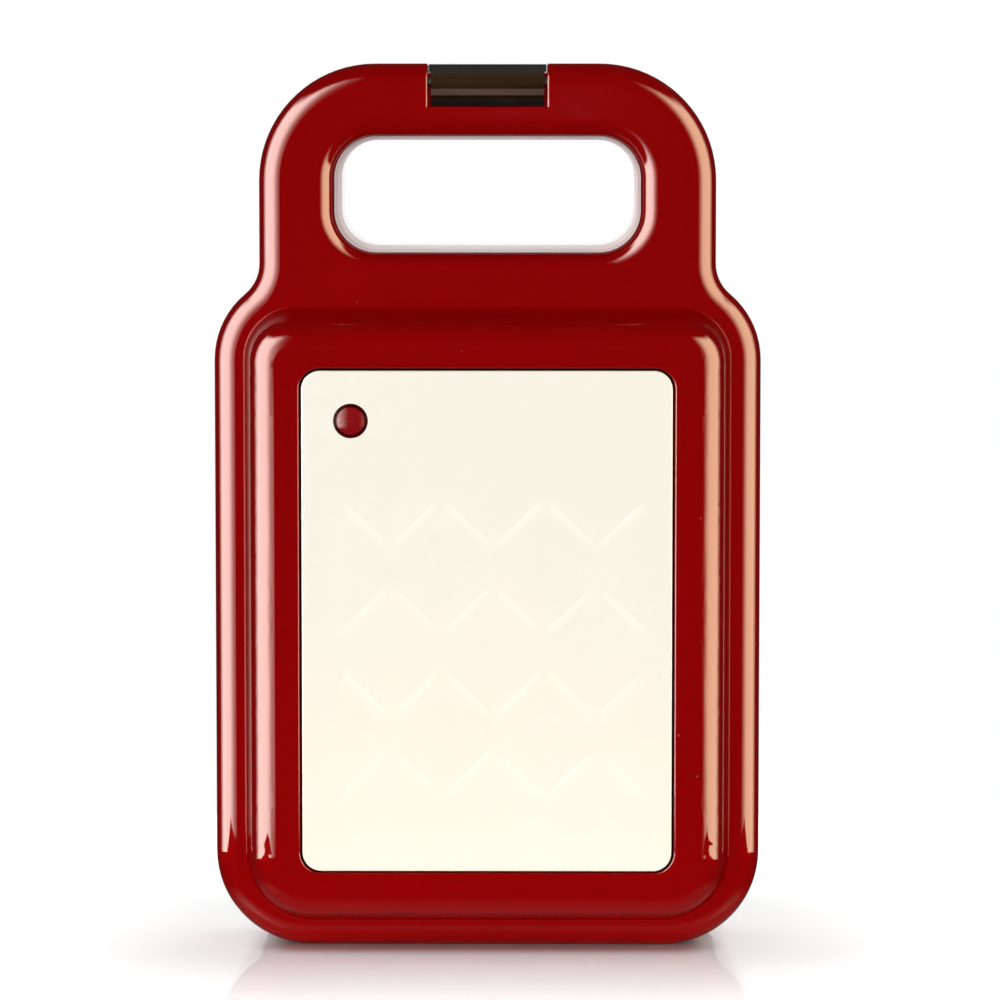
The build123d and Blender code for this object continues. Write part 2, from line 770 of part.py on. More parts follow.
def make_release_spring(side):
    """Compression spring between the slide's lug and the frame's stop."""
    coil_height = release_spring_length - 2 * (release_wire_radius + spring_end_gap)
    with BuildPart() as spring:
        with BuildLine():
            coil = Helix(coil_height / release_spring_turns, coil_height, release_spring_radius,
                         center=(0, side * (frame_back + spring_lug_depth / 2),
                                 slide_top + release_wire_radius + spring_end_gap))
        with BuildSketch(Plane(origin=coil @ 0, z_dir=coil % 0)):
            Circle(release_wire_radius)
        sweep(path=coil, is_frenet=True)
    return spring


def make_screws(side):
    """Pan-head screws that hold a frame to its cover."""
    with BuildPart() as screws:
        with BuildSketch(half_plane(side, frame_face)):
            with Locations(screw_places(side)):
                Circle(screw_head_radius)
        extrude(amount=screw_head_height)
        with BuildSketch(half_plane(side, frame_face + screw_head_height)):
            with Locations(screw_places(side)):
                Circle(screw_radius - screw_fit)
        extrude(amount=screw_length)
        with BuildSketch(half_plane(side, frame_face)):
            with Locations(screw_places(side)):
                Rectangle(2 * screw_head_radius, screw_slot_width)
        extrude(amount=screw_slot_depth, mode=Mode.SUBTRACT)
    return screws


# Parts that both halves have
both_halves = [("lid_inner_frame", make_frame(-1, 0)), ("base_inner_frame", make_frame(1, base_hole_lip)),
               ("upper_plate", make_plate(-1)), ("lower_plate", make_plate(1)),
               ("upper_tray", make_tray(-1)), ("lower_tray", make_tray(1)),
               ("upper_heater", make_heater(-1)), ("lower_heater", make_heater(1)),
               ("upper_release_slide", make_slide(-1)), ("lower_release_slide", make_slide(1)),
               ("upper_release_spring", make_release_spring(-1)),
               ("lower_release_spring", make_release_spring(1)),
               ("lid_screws", make_screws(-1)), ("base_screws", make_screws(1))]
for name, piece in both_halves:
    piece.part.label = name
    export_step(piece.part, f"parts/{name}.step")

# Cream panel with a faint zigzag relief
with BuildPart() as lid_panel:
    with BuildSketch(half_plane(-1, panel_back)):
        add(rounded(-1, panel_centre, panel_width, panel_height, panel_corner))
    extrude(amount=panel_thickness)
    fillet(front(lid_panel, -1).edges(), panel_edge_round)
    with BuildSketch(half_plane(-1, panel_back + panel_thickness)):
        for row, height in enumerate(zigzag_row_heights):
            low = panel_bottom + height
            foot, tip = (low + zigzag_rise, low) if row % 2 == 0 else (low, low + zigzag_rise)
            for trough in range(zigzag_troughs):
                x = zigzag_first_trough + 2 * zigzag_half_pitch * trough
                for way in (-1, 1):
                    slope = degrees(atan2(tip - foot, way * zigzag_half_pitch))
                    with Locations((x + way * zigzag_half_pitch / 2, low + zigzag_rise / 2)):
                        Rectangle(hypot(zigzag_half_pitch, zigzag_rise) - 2 * zigzag_end_gap, zigzag_line,
                                  rotation=slope)
    extrude(amount=zigzag_line_height)
    with BuildSketch(half_plane(-1, panel_back)):
        with Locations((lamp_x, lamp_height)):
            Circle(lens_radius + lens_clearance)
    extrude(amount=panel_thickness, mode=Mode.SUBTRACT)
lid_panel.part.label = "lid_panel"
export_step(lid_panel.part, "parts/lid_panel.step")

# Indicator lens: domed red button held by a flange behind the lid's face
lamp_axis = Axis((lamp_x, 0, lamp_height), (0, -1, 0))
lamp_section = Plane((lamp_x, 0, lamp_height), x_dir=(1, 0, 0), z_dir=(0, 0, 1))
lens_back = lid_face_inside - lens_flange_thickness
with BuildPart() as lamp_lens:
    with BuildSketch(lamp_section):
        with BuildLine():
            Polyline((0, -lid_front), (0, -lens_back), (lens_radius + lens_flange, -lens_back),
                     (lens_radius + lens_flange, -lid_face_inside), (lens_radius, -lid_face_inside),
                     (lens_radius, -lid_front + lens_crown))
            TangentArc((0, -lid_front), (lens_radius, -lid_front + lens_crown), tangent=(1, 0))
        make_face()
    revolve(axis=lamp_axis)
lamp_lens.part.label = "lamp_lens"
export_step(lamp_lens.part, "parts/lamp_lens.step")

# Lamp holder: tube behind the lens
holder_bore = neon_radius + neon_clearance
with BuildPart() as lamp_holder:
    with BuildSketch(half_plane(-1, lens_back - holder_length)):
        with Locations((lamp_x, lamp_height)):
            Circle(holder_bore + holder_wall)
            Circle(holder_bore, mode=Mode.SUBTRACT)
    extrude(amount=holder_length)
lamp_holder.part.label = "lamp_holder"
export_step(lamp_holder.part, "parts/lamp_holder.step")

# Neon lamp in its holder, with a rounded tip towards the lens
with BuildPart() as neon_lamp:
    with BuildSketch(half_plane(-1, lens_back - neon_clearance - neon_length)):
        with Locations((lamp_x, lamp_height)):
            Circle(neon_radius)
    extrude(amount=neon_length)
    fillet(front(neon_lamp, -1).edges(), neon_tip_round)
neon_lamp.part.label = "neon_lamp"
export_step(neon_lamp.part, "parts/neon_lamp.step")

# Latch: rocks on its pin in the lid's notch, and its claw reaches over the catch on the base
claw_inner = catch_back + catch_gap
latch_crest = lid_rim_depth - latch_crest_inset
latch_grip = lid_rim_depth - latch_grip_inset
ridge_top = latch_bottom + latch_ridge_rise + latch_ridge_height
skirt_bottom = notch_floor + latch_skirt_gap
with BuildPart() as latch:
    with BuildSketch(Plane.YZ.offset(-latch_half_width)):
        with BuildLine():
            Polyline(
                (-latch_crest, latch_top),
                (claw_inner + claw_thickness, latch_top),
                (claw_inner + claw_thickness, claw_bottom),
                (claw_inner, claw_bottom),
                (claw_inner, latch_under),
                (-latch_crest + latch_web, latch_under),
                (-latch_pivot_depth + latch_hub, latch_pivot_height - latch_hub),
                (-latch_pivot_depth, skirt_bottom),
                (-latch_pivot_depth - latch_skirt, skirt_bottom),
                (-latch_pivot_depth - latch_skirt, latch_bottom),
                (-latch_grip, latch_bottom),
                (-latch_grip, latch_bottom + latch_ridge_rise - latch_ridge_step),
                (-lid_rim_depth, latch_bottom + latch_ridge_rise),
                (-lid_rim_depth + latch_ridge_lean, ridge_top),
                (-lid_rim_depth + latch_ridge_lean + latch_ridge_relief, ridge_top + latch_ridge_relief),
            )
            ThreePointArc(
                (-lid_rim_depth + latch_ridge_lean + latch_ridge_relief, ridge_top + latch_ridge_relief),
                (-lid_rim_depth + latch_swell_inset, latch_top - latch_swell_drop),
                (-latch_crest, latch_top),
            )
        make_face()
        with Locations((-latch_pivot_depth, latch_pivot_height)):
            Circle(latch_pin_radius + latch_pin_clearance, mode=Mode.SUBTRACT)
    extrude(amount=2 * latch_half_width)
    # Wider web behind the front, which fills the notch from side to side
    shoulder_back = claw_inner + claw_thickness
    shoulder_front = latch_shoulder_setback - lid_rim_depth
    with BuildSketch(Plane.XY.offset(latch_under)):
        with Locations((0, (shoulder_front + shoulder_back) / 2)):
            Rectangle(2 * (latch_half_width + latch_shoulder), shoulder_back - shoulder_front)
    extrude(amount=latch_thickness)
    # Pocket for the spring around the pin, with a way down for its long leg
    coil_room = latch_coil_radius + latch_wire_radius + latch_pin_clearance
    with BuildSketch(Plane.YZ.offset(-latch_slot_half)):
        with Locations((-latch_pivot_depth, latch_pivot_height)):
            Circle(coil_room + latch_spring_room)
        with Locations((-latch_pivot_depth + coil_room, (latch_pivot_height + notch_floor) / 2)):
            Rectangle(2 * coil_room, latch_pivot_height - notch_floor)
    extrude(amount=2 * latch_slot_half, mode=Mode.SUBTRACT)
latch.part.label = "latch"
export_step(latch.part, "parts/latch.step")

# Latch pin, blind in the notch's side walls
pin_half = notch_half_width + latch_pin_socket - 2 * latch_pin_clearance
with BuildPart() as latch_pin:
    with BuildSketch(Plane.YZ.offset(-pin_half)):
        with Locations((-latch_pivot_depth, latch_pivot_height)):
            Circle(latch_pin_radius)
    extrude(amount=2 * pin_half)
latch_pin.part.label = "latch_pin"
export_step(latch_pin.part, "parts/latch_pin.step")

# Latch spring: coil around the pin, with one leg on the notch floor and one behind the latch's front
coil_length = latch_coil_turns * latch_coil_pitch
with BuildPart() as latch_spring:
    with BuildLine():
        coil = Helix(latch_coil_pitch, coil_length, latch_coil_radius,
                     center=(-coil_length / 2, -latch_pivot_depth, latch_pivot_height),
                     direction=(1, 0, 0), lefthand=True)
    with BuildSketch(Plane(origin=coil @ 0, z_dir=coil % 0)):
        Circle(latch_wire_radius)
    sweep(path=coil, is_frenet=True)
    with BuildSketch(Plane(origin=coil @ 1, z_dir=(0, 0, -1))):
        Circle(latch_wire_radius)
    extrude(amount=(coil @ 1).Z - notch_floor - spring_end_gap)
    with BuildSketch(Plane(origin=coil @ 0, z_dir=(0, -1, 0))):
        Circle(latch_wire_radius)
    extrude(amount=latch_coil_radius + latch_wire_radius)
latch_spring.part.label = "latch_spring"
export_step(latch_spring.part, "parts/latch_spring.step")

# Hinge pins, one for each pair of knuckles
with BuildPart() as hinge_pins:
    for low, high in spans(lid_knuckle_start + pin_end_gap, hinge_pin_end - lid_knuckle_start - pin_end_gap):
        with BuildSketch(Plane.YZ.offset(low)):
            with Locations((0, hinge_height)):
                Circle(hinge_pin_radius)
        extrude(amount=high - low)
hinge_pins.part.label = "hinge_pins"
export_step(hinge_pins.part, "parts/hinge_pins.step")

# Catch: bent steel strip on the base handle, behind which the claw drops
with BuildPart() as latch_catch:
    with BuildSketch(Plane.YZ.offset(-catch_half_width)):
        with BuildLine():
            Polyline(
                (catch_back - catch_thickness, base_notch_floor),
                (catch_back - catch_thickness, catch_top),
                (catch_back, catch_top),
                (catch_back, base_notch_floor + catch_thickness),
                (catch_back + catch_foot, base_notch_floor + catch_thickness),
                (catch_back + catch_foot, base_notch_floor),
                close=True,
            )
        make_face()
    extrude(amount=2 * catch_half_width)
    with BuildSketch(Plane.XY.offset(base_notch_floor)):
        with Locations((-catch_screw_x, catch_screw_depth), (catch_screw_x, catch_screw_depth)):
            Circle(catch_screw_radius + screw_clearance)
    extrude(amount=catch_thickness, mode=Mode.SUBTRACT)
latch_catch.part.label = "latch_catch"
export_step(latch_catch.part, "parts/latch_catch.step")

# Screws that hold the catch down
with BuildPart() as catch_screws:
    with BuildSketch(Plane.XY.offset(base_notch_floor - catch_screw_length)):
        with Locations((-catch_screw_x, catch_screw_depth), (catch_screw_x, catch_screw_depth)):
            Circle(catch_screw_radius)
    extrude(amount=catch_screw_length + catch_thickness)
    with BuildSketch(Plane.XY.offset(base_notch_floor + catch_thickness)):
        with Locations((-catch_screw_x, catch_screw_depth), (catch_screw_x, catch_screw_depth)):
            Circle(catch_screw_head)
    extrude(amount=catch_screw_head_height)
catch_screws.part.label = "catch_screws"
export_step(catch_screws.part, "parts/catch_screws.step")

# Rubber feet on the base's back, each with a stud through the wall
foot_places = [(s * foot_x, upright(1, z)) for s in (-1, 1) for z in foot_heights]
with BuildPart() as rubber_feet:
    with BuildSketch(half_plane(1, base_crown_depth)):
        with Locations(foot_places):
            Circle(foot_radius)
    extrude(amount=foot_height)
    fillet(front(rubber_feet, 1).edges(), foot_round)
    with BuildSketch(half_plane(1, base_face_inside)):
        with Locations(foot_places):
            Circle(foot_stud_radius - foot_stud_fit)
    extrude(amount=crown_face_wall)
rubber_feet.part.label = "rubber_feet"
export_step(rubber_feet.part, "parts/rubber_feet.step")

# Thermostat: snap-disc can on a mounting ear, against the back of the lower tray
with BuildPart() as thermostat:
    with BuildSketch(half_plane(1, tray_back)):
        add(rounded(1, plate_centre + thermostat_rise, thermostat_ear_width, thermostat_ear_height,
                    thermostat_ear_corner))
    extrude(amount=thermostat_ear_sheet)
    with BuildSketch(half_plane(1, tray_back + thermostat_ear_sheet)):
        with Locations((0, upright(1, plate_centre + thermostat_rise))):
            Circle(thermostat_radius)
    extrude(amount=thermostat_depth)
thermostat.part.label = "thermostat"
export_step(thermostat.part, "parts/thermostat.step")

# Thermal fuse, lying across the back of the lower tray
with BuildPart() as thermal_fuse:
    with BuildSketch(Plane.YZ.offset(-fuse_length / 2)):
        with Locations((tray_back + fuse_seat + fuse_radius, plate_centre - fuse_drop)):
            Circle(fuse_radius)
    extrude(amount=fuse_length)
    chamfer(thermal_fuse.faces().filter_by(Plane.YZ).edges(), fuse_bevel)
thermal_fuse.part.label = "thermal_fuse"
export_step(thermal_fuse.part, "parts/thermal_fuse.step")

# Terminal block with three ways, on the inside of the base's back wall
terminal_middle = base_face_inside - terminal_depth / 2
terminal_places = [(way * terminal_pitch, upright(1, terminal_centre)) for way in (-1, 0, 1)]
with BuildPart() as terminal_block:
    with BuildSketch(half_plane(1, base_face_inside - terminal_depth)):
        add(block(1, terminal_centre - terminal_height / 2, terminal_centre + terminal_height / 2,
                  terminal_width / 2))
    extrude(amount=terminal_depth)
    with BuildSketch(Plane.XY.offset(terminal_centre - terminal_height / 2)):
        with Locations([(way * terminal_pitch, terminal_middle) for way in (-1, 0, 1)]):
            Circle(terminal_bore)
    extrude(amount=terminal_height, mode=Mode.SUBTRACT)
    with BuildSketch(half_plane(1, base_face_inside - terminal_depth)):
        with Locations(terminal_places):
            Circle(terminal_screw_radius)
    extrude(amount=terminal_depth / 2, mode=Mode.SUBTRACT)
terminal_block.part.label = "terminal_block"
export_step(terminal_block.part, "parts/terminal_block.step")

# Clamping screws of the terminal block
with BuildPart() as terminal_screws:
    with BuildSketch(half_plane(1, base_face_inside - terminal_depth - terminal_screw_proud)):
        with Locations(terminal_places):
            Circle(terminal_screw_radius - screw_fit)
    extrude(amount=terminal_screw_length)
terminal_screws.part.label = "terminal_screws"
export_step(terminal_screws.part, "parts/terminal_screws.step")

# Cord gland at the hinge end, with a flange outside and a collar inside
with BuildPart() as cord_gland:
    with BuildSketch(Plane.XY.offset(gland_boss_low - gland_flange_thickness)):
        with Locations((0, gland_depth)):
            Circle(gland_flange)
    extrude(amount=gland_flange_thickness)
    with BuildSketch(Plane.XY.offset(gland_boss_low)):
        with Locations((0, gland_depth)):
            Circle(gland_radius)
    extrude(amount=gland_boss_high - gland_boss_low)
    with BuildSketch(Plane.XY.offset(gland_boss_high)):
        with Locations((0, gland_depth)):
            Circle(gland_collar)
    extrude(amount=gland_flange_thickness)
    with BuildSketch(Plane.XY.offset(gland_boss_low - gland_flange_thickness)):
        with Locations((0, gland_depth)):
            Circle(gland_bore)
    extrude(amount=gland_boss_high - gland_boss_low + 2 * gland_flange_thickness, mode=Mode.SUBTRACT)
cord_gland.part.label = "cord_gland"
export_step(cord_gland.part, "parts/cord_gland.step")
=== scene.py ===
"""Multi snack maker with a red lid and a white base, stood on its hinge end.

Lengths are in metres. X runs across, Z up from the hinge end to the handle, -Y out of the lid.
"""

import math

import bmesh
import bpy
from mathutils import Matrix, Vector


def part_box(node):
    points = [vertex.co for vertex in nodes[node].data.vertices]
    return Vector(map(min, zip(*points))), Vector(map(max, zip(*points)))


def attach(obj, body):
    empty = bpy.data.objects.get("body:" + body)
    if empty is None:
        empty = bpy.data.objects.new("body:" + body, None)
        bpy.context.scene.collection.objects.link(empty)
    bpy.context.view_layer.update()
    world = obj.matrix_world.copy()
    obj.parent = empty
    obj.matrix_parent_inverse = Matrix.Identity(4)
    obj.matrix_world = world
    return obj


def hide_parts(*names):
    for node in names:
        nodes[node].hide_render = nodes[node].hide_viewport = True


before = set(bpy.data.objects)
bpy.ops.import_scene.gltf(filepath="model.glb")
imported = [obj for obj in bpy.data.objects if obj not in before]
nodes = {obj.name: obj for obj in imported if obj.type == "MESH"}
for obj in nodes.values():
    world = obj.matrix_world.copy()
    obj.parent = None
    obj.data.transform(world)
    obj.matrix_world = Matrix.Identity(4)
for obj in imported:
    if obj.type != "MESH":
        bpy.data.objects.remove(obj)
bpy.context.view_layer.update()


# Base cover: white ABS, injection moulded in one piece with half of the loop handle.
# A polished tool gives the gloss, with a faint ripple where the wall cooled over the ribs.
class Wire:
    """A shader output that adds a Math node for each operator used on it."""

    def __init__(self, tree, socket):
        self.tree = tree
        self.socket = socket

    def maths(self, operation, first, second=0.0):
        node = self.tree.nodes.new("ShaderNodeMath")
        node.operation = operation
        for entry, value in zip(node.inputs, (first, second)):
            if isinstance(value, Wire):
                self.tree.links.new(value.socket, entry)
            else:
                entry.default_value = value
        return Wire(self.tree, node.outputs[0])

    def __add__(self, other):
        return self.maths("ADD", self, other)

    def __sub__(self, other):
        return self.maths("SUBTRACT", self, other)

    def __rsub__(self, other):
        return self.maths("SUBTRACT", other, self)

    def __mul__(self, other):
        return self.maths("MULTIPLY", self, other)

    def __lt__(self, other):
        return self.maths("LESS_THAN", self, other)

    def __gt__(self, other):
        return self.maths("GREATER_THAN", self, other)

    def __abs__(self):
        return self.maths("ABSOLUTE", self)

    __radd__ = __add__
    __rmul__ = __mul__


class Finish:
    """A node tree in the making."""

    def __init__(self, tree):
        self.tree = tree
        tree.nodes.clear()

    def node(self, kind, output=0, settings=None, **values):
        """Adds one node, with its settings first and its sockets by name, and returns one output."""
        node = self.tree.nodes.new("ShaderNode" + kind)
        for name, value in (settings or {}).items():
            setattr(node, name, value)
        for name, value in values.items():
            entry = self.entry(node, name)
            if isinstance(value, Wire):
                self.tree.links.new(value.socket, entry)
            else:
                entry.default_value = value
        return Wire(self.tree, node.outputs[output]) if node.outputs else node

    @staticmethod
    def entry(node, name):
        if name[0] == "i" and name[1:].isdigit():
            return node.inputs[int(name[1:])]
        return node.inputs[name.replace("_", " ")]

    def place(self):
        """The piece's own coordinates, in metres."""
        return self.node("TexCoord", "Object")

    def along(self, axis, where=None):
        """One coordinate of the piece, or of another place."""
        return self.node("SeparateXYZ", axis, Vector=where or self.place())

    def noise(self, scale, detail, stretch=(1.0, 1.0, 1.0)):
        """Even noise between 0 and 1, with its grain drawn out along an axis if asked."""
        where = self.node("Mapping", Vector=self.place(), Scale=stretch)
        return self.node("TexNoise", "Fac", Vector=where, Scale=scale, Detail=detail)

    def mix(self, share, first, second):
        """Colour between two others."""
        return self.node("Mix", 2, {"data_type": "RGBA"}, i0=share, i6=first, i7=second)

    def between(self, value, low, high):
        """0 below low, 1 above high and a smooth rise between."""
        return self.node("MapRange", 0, {"interpolation_type": "SMOOTHSTEP"}, Value=value,
                         From_Min=low, From_Max=high)

    def bump(self, height, distance, strength):
        """Relief from a height, which distance scales in metres."""
        return self.node("Bump", Height=height, Distance=distance, Strength=strength)


def rgb(red, green, blue):
    return (red, green, blue, 1.0)


def new_finish(name):
    """An empty material and the tree to fill."""
    material = bpy.data.materials.new(name)
    material.use_nodes = True
    return material, Finish(material.node_tree)


def close_finish(finish, **sockets):
    """Joins a shader with these sockets to the material's output."""
    shader = finish.node("BsdfPrincipled", "BSDF", **sockets)
    finish.node("OutputMaterial", Surface=shader)


def wear(material, *names):
    """Gives CAD nodes a material."""
    for name in names:
        for slot in nodes[name].material_slots:
            slot.material = material


dust_cells = 420.0
speck_radius = 0.13
speck_share = 0.006
speck_tone = rgb(0.55, 0.42, 0.40)
crease_edge = (0.000003, 0.00002)
duller_wall = (0.0035, 0.0070)
groove_reach = 0.00055
groove_floor = 0.0010
groove_behind = 0.0005
groove_painted_shade = rgb(0.004, 0.0005, 0.0005)


def moulded_gloss(name, colour, shade, crease, sheen, specks, metallic=0.0, rough=0.32, inlay=None):
    """Polished injection moulding: tone drift, cooling ripple, fine scuffs and a little dust.

    Crease is the depth of the corner between the rim and the crown, where the polish doesn't reach
    and the wall above stays duller. Inlay is the box of a panel, whose groove is painted dark as shade.
    """
    material, finish = new_finish(name)
    drift = finish.noise(14.0, 3.0)
    ripple = finish.noise(260.0, 1.0)
    scuff = finish.noise(90.0, 6.0, (1.0, 1.0, 0.06))
    cells = {"Vector": finish.place(), "Scale": dust_cells}
    cell = finish.node("TexVoronoi", "Distance", **cells)
    pick = finish.node("TexWhiteNoise", "Value", Vector=finish.node("TexVoronoi", "Position", **cells))
    dust = (cell < speck_radius) * (pick > 1.0 - speck_share)
    base = finish.mix(finish.between(drift, 0.35, 0.65), colour, shade)
    depth = abs(finish.along("Y"))
    raised = finish.between(depth, crease + crease_edge[0], crease + crease_edge[1])
    polished = finish.between(depth, crease + duller_wall[0], crease + duller_wall[1])
    coat = 1.0 - 0.85 * raised * (1.0 - polished)
    if inlay:
        low, high = inlay
        across = abs(finish.along("X"))
        up = abs(finish.along("Z") - (low.z + high.z) / 2)
        in_groove = (across < high.x + groove_reach) * (up < (high.z - low.z) / 2 + groove_reach)
        in_groove = in_groove * (depth < -low.y - groove_floor) * (depth > -high.y - groove_behind)
        # Painted shade: the groove round the panel is coloured nearly black, where shadow falls in it.
        base = finish.mix(in_groove, base, groove_painted_shade)
        coat = coat * (1.0 - 0.95 * in_groove)
    close_finish(
        finish,
        Base_Color=finish.mix(dust * specks, base, speck_tone),
        Metallic=metallic,
        Roughness=rough + 0.10 * finish.between(scuff, 0.55, 0.8) + 0.3 * dust,
        Specular_IOR_Level=sheen,
        Coat_Weight=coat,
        Coat_Roughness=0.035,
        Normal=finish.bump(ripple * 0.7 + scuff * 0.3, 0.00002, 0.6),
    )
    return material


base_step = 0.024
base_white = moulded_gloss("base_white", rgb(0.86, 0.86, 0.85), rgb(0.84, 0.84, 0.83), crease=base_step,
                           sheen=0.3, specks=0.25)
wear(base_white, "base_shell")

# Rating plate: bare silver-grey film with a brushed look, stuck into the moulded recess on the back.
# It carries no print. Its corners follow the recess with a small gap all round.
plate_half_width = 0.0253
plate_half_height = 0.0143
plate_corner = 0.0024
plate_face = 0.03928
plate_foil = 0.00022
plate_middle = 0.11201
corner_steps = 8
brushed_along_x = (0.02, 1.0, 1.0)


def as_mesh(name, shape):
    """The mesh of a shape in the making."""
    mesh = bpy.data.meshes.new(name)
    shape.to_mesh(mesh)
    shape.free()
    return mesh


def placed(name, data):
    """A new object in the scene."""
    made = bpy.data.objects.new(name, data)
    bpy.context.scene.collection.objects.link(made)
    return made


foil_mesh = bmesh.new()
ring = []
for corner_x, corner_z, start in ((1, 1, 0), (-1, 1, 90), (-1, -1, 180), (1, -1, 270)):
    for step in range(corner_steps + 1):
        turn = math.radians(start + 90 * step / corner_steps)
        ring.append(foil_mesh.verts.new((
            corner_x * (plate_half_width - plate_corner) + plate_corner * math.cos(turn),
            plate_face,
            plate_middle + corner_z * (plate_half_height - plate_corner) + plate_corner * math.sin(turn),
        )))
face = foil_mesh.faces.new(ring)
raised = bmesh.ops.extrude_face_region(foil_mesh, geom=[face])
bmesh.ops.translate(foil_mesh, vec=(0, -plate_foil, 0),
                    verts=[v for v in raised["geom"] if isinstance(v, bmesh.types.BMVert)])
bmesh.ops.recalc_face_normals(foil_mesh, faces=foil_mesh.faces)
foil_data = as_mesh("rating_plate", foil_mesh)
rating_plate = placed("rating_plate", foil_data)


def metal(name, colour, roughness, grain, stretch, depth, tarnish=0.0, metallic=1.0):
    """Metal with a grain along one axis and, if asked, blotches of a dull film."""
    material, finish = new_finish(name)
    lines = finish.noise(grain, 4.0, stretch)
    film = finish.between(finish.noise(110.0, 4.0), 0.45, 0.72)
    dull = rgb(colour[0] * 0.55, colour[1] * 0.52, colour[2] * 0.5)
    close_finish(
        finish,
        Base_Color=finish.mix(film * tarnish, colour, dull),
        Metallic=metallic,
        Roughness=roughness + 0.16 * lines + 0.2 * film * tarnish,
        Normal=finish.bump(lines, depth, 0.5),
    )
    return material


foil_data.materials.append(metal("rating_foil", rgb(0.60, 0.60, 0.61), 0.30, 2400.0, brushed_along_x,
                                 0.00001, metallic=0.45))
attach(rating_plate, "base")

# Feet: black rubber, moulded with two grooves for grip and held by a stud pressed into the back.
# One turned shape is placed four times.
foot_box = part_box("rubber_feet")
foot_outer = 0.007
foot_face = foot_box[1].y
foot_back = 0.0394
foot_profile = [
    (0.0, -0.00055), (0.0011, -0.0005), (0.0014, 0.0), (0.0029, 0.0), (0.0031, -0.0008), (0.0036, -0.0008),
    (0.0038, 0.0), (0.0050, 0.0), (0.0052, -0.0008), (0.0057, -0.0008), (0.0059, -0.0001),
    (0.0065, -0.00025), (0.00685, -0.0006), (foot_outer, -0.0011), (foot_outer, foot_back - foot_face),
    (0.0, foot_back - foot_face),
]


def turned(name, profile, steps, merge):
    """A shape turned round the Y axis, from a profile of radii and depths."""
    shape = bmesh.new()
    points = [shape.verts.new((radius, depth, 0.0)) for radius, depth in profile]
    edges = [shape.edges.new(pair) for pair in zip(points, points[1:])]
    bmesh.ops.spin(shape, geom=points + edges, cent=(0, 0, 0), axis=(0, 1, 0), angle=math.tau, steps=steps,
                   use_duplicate=False)
    bmesh.ops.remove_doubles(shape, verts=shape.verts, dist=merge)
    bmesh.ops.recalc_face_normals(shape, faces=shape.faces)
    return as_mesh(name, shape)


foot_shape = turned("foot_shape", foot_profile, 48, 1e-6)
for polygon in foot_shape.polygons:
    polygon.use_smooth = True

rubber, rubber_tree = new_finish("foot_rubber")
rubber_grain = rubber_tree.noise(2600.0, 3.0)
rubber_bloom = rubber_tree.between(rubber_tree.noise(300.0, 4.0), 0.4, 0.75)
close_finish(
    rubber_tree,
    Base_Color=rubber_tree.mix(rubber_bloom, rgb(0.020, 0.020, 0.021), rgb(0.045, 0.044, 0.043)),
    Roughness=0.62 + 0.2 * rubber_bloom,
    Normal=rubber_tree.bump(rubber_grain, 0.00006, 0.7),
)


def strew(name, shape, places, turn_step, material):
    """Geometry Nodes: one copy of a shape at each place, made into a single plain mesh."""
    tree = bpy.data.node_groups.new(name + "_layout", "GeometryNodeTree")
    tree.interface.new_socket("Places", in_out="INPUT", socket_type="NodeSocketGeometry")
    piece_input = tree.interface.new_socket("Piece", in_out="INPUT", socket_type="NodeSocketObject")
    turn_input = tree.interface.new_socket("Turn Step", in_out="INPUT", socket_type="NodeSocketFloat")
    tree.interface.new_socket("Copies", in_out="OUTPUT", socket_type="NodeSocketGeometry")

    def add(kind, **settings):
        node = tree.nodes.new(kind)
        for key, value in settings.items():
            setattr(node, key, value)
        return node

    entry = add("NodeGroupInput")
    leave = add("NodeGroupOutput")
    source = add("GeometryNodeObjectInfo")
    spread = add("GeometryNodeInstanceOnPoints")
    index = add("GeometryNodeInputIndex")
    turn = add("ShaderNodeMath", operation="MULTIPLY")
    angles = add("ShaderNodeCombineXYZ")
    realise = add("GeometryNodeRealizeInstances")
    paint = add("GeometryNodeSetMaterial")
    paint.inputs["Material"].default_value = material
    link = tree.links.new
    link(entry.outputs["Piece"], source.inputs["Object"])
    link(entry.outputs["Places"], spread.inputs["Points"])
    link(source.outputs["Geometry"], spread.inputs["Instance"])
    link(index.outputs[0], turn.inputs[0])
    link(entry.outputs["Turn Step"], turn.inputs[1])
    link(turn.outputs[0], angles.inputs["Y"])
    link(angles.outputs[0], spread.inputs["Rotation"])
    link(spread.outputs[0], realise.inputs[0])
    link(realise.outputs[0], paint.inputs["Geometry"])
    link(paint.outputs[0], leave.inputs[0])

    pattern = placed(name + "_pattern", shape)
    seats = bpy.data.meshes.new(name + "_seats")
    seats.from_pydata(places, [], [])
    holder = placed(name + "_holder", seats)
    layout = holder.modifiers.new("layout", "NODES")
    layout.node_group = tree
    layout[piece_input.identifier] = pattern
    layout[turn_input.identifier] = math.radians(turn_step)
    bpy.context.view_layer.update()
    evaluated = holder.evaluated_get(bpy.context.evaluated_depsgraph_get())
    made = placed(name, bpy.data.meshes.new_from_object(evaluated))
    bpy.data.objects.remove(holder)
    bpy.data.objects.remove(pattern)
    return made


foot_places = [(x, foot_face, z)
               for x in (foot_box[0].x + foot_outer, foot_box[1].x - foot_outer)
               for z in (foot_box[0].z + foot_outer, foot_box[1].z - foot_outer)]
grooved_feet = strew("grooved_feet", foot_shape, foot_places, 0.0, rubber)
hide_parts("rubber_feet")
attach(grooved_feet, "base")

# Cord gland: black nylon bush in the hinge end, with its bore left empty.
# The fine grain comes from a spark-eroded tool.
def fine_grained(name, scale, detail, dark, pale, smooth, spread, depth, strength):
    """A surface with one even grain, which tints, roughens and lifts it."""
    material, finish = new_finish(name)
    grain = finish.noise(scale, detail)
    close_finish(
        finish,
        Base_Color=finish.mix(grain, dark, pale),
        Roughness=smooth + spread * grain,
        Normal=finish.bump(grain, depth, strength),
    )
    return material


